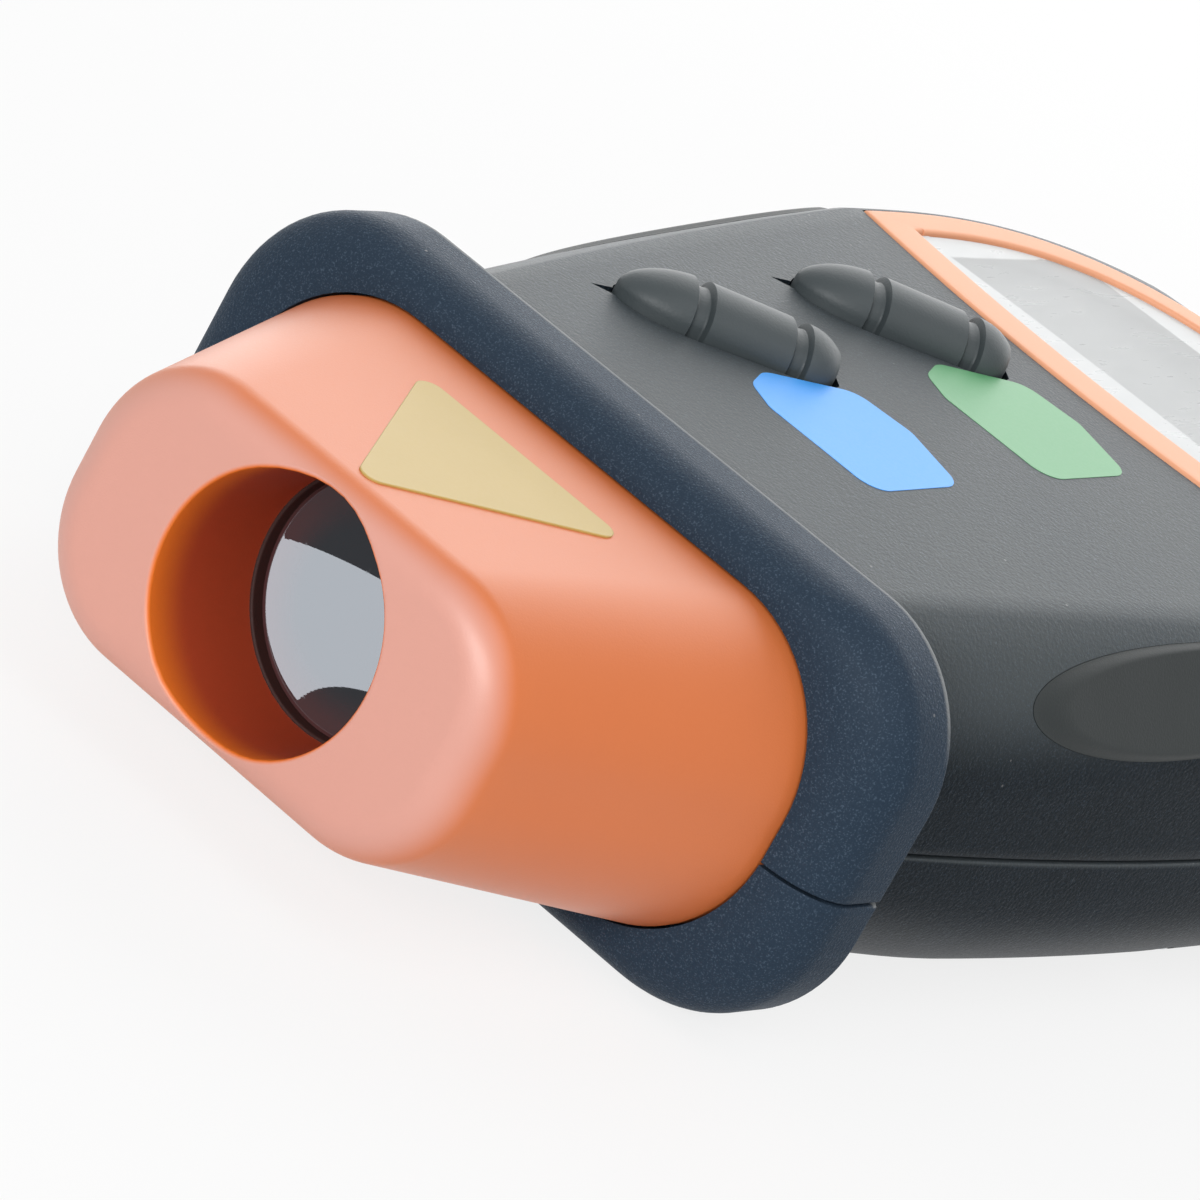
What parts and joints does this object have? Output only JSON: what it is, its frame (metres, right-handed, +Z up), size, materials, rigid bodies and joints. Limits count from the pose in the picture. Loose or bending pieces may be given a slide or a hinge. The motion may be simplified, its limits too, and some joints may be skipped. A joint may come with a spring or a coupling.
{
  "type": "laser tachometer",
  "caption": "Hand-held laser tachometer: tapered orange nose with a round lens bore, raised collar, slanted push keys, framed display and sliding battery door.",
  "frame": {"origin": "middle of the underside, on the surface that the tachometer lies on", "axes": "+Y from the nose towards the tail, +Z up through the display side, +X to the right seen from the nose"},
  "size_m": [0.0668, 0.131, 0.0352],
  "materials": {
    "case_upper": "fine grain",
    "case_lower": "fine grain",
    "nose": "satin",
    "sticker": "satin",
    "lens": "polished",
    "ring": "matte",
    "optics": "matte",
    "brass": "turned",
    "sensor": "gloss",
    "board": "lacquer",
    "chip": "matte",
    "metal": "plated",
    "display": "gloss",
    "strip": "matte",
    "window": "polished",
    "frame": "satin",
    "key": "satin",
    "switch": "satin",
    "battery": "satin",
    "snap": "matte",
    "door": "fine grain",
    "grip": "matte"
  },
  "bodies": {
    "case": {"upper_shell": "case_upper", "lower_shell": "case_lower", "nose_cone": "nose", "nose_sticker": "sticker", "lens_ring": "ring", "lens": "lens", "optics_holder": "optics", "laser_module": "brass", "photo_sensor": "sensor", "main_board": "board", "controller_chip": "chip", "crystal": "metal", "lcd_panel": "display", "contact_strips": "strip", "lcd_window": "window", "lcd_frame": "frame", "mem_switch": "switch", "test_switch": "switch", "battery": "battery", "battery_snap": "snap", "case_screws": "metal", "board_screws": "metal", "grip_left": "grip", "grip_right": "grip"},
    "mem_key": {"mem_button": "key", "mem_plunger": "brass"},
    "test_key": {"test_button": "key", "test_plunger": "brass"},
    "door": {"battery_door": "door"}
  },
  "joints": [
    {"name": "mem_press", "type": "slide", "parent": "case", "child": "mem_key", "axis": [0, 0, -1], "range_m": [0, 0.0008], "stiffness_N_per_m": 600},
    {"name": "test_press", "type": "slide", "parent": "case", "child": "test_key", "axis": [0, 0, -1], "range_m": [0, 0.0008], "stiffness_N_per_m": 600},
    {"name": "door_slide", "type": "slide", "parent": "case", "child": "door", "axis": [0, 1, 0], "range_m": [0, 0.01]}
  ]
}
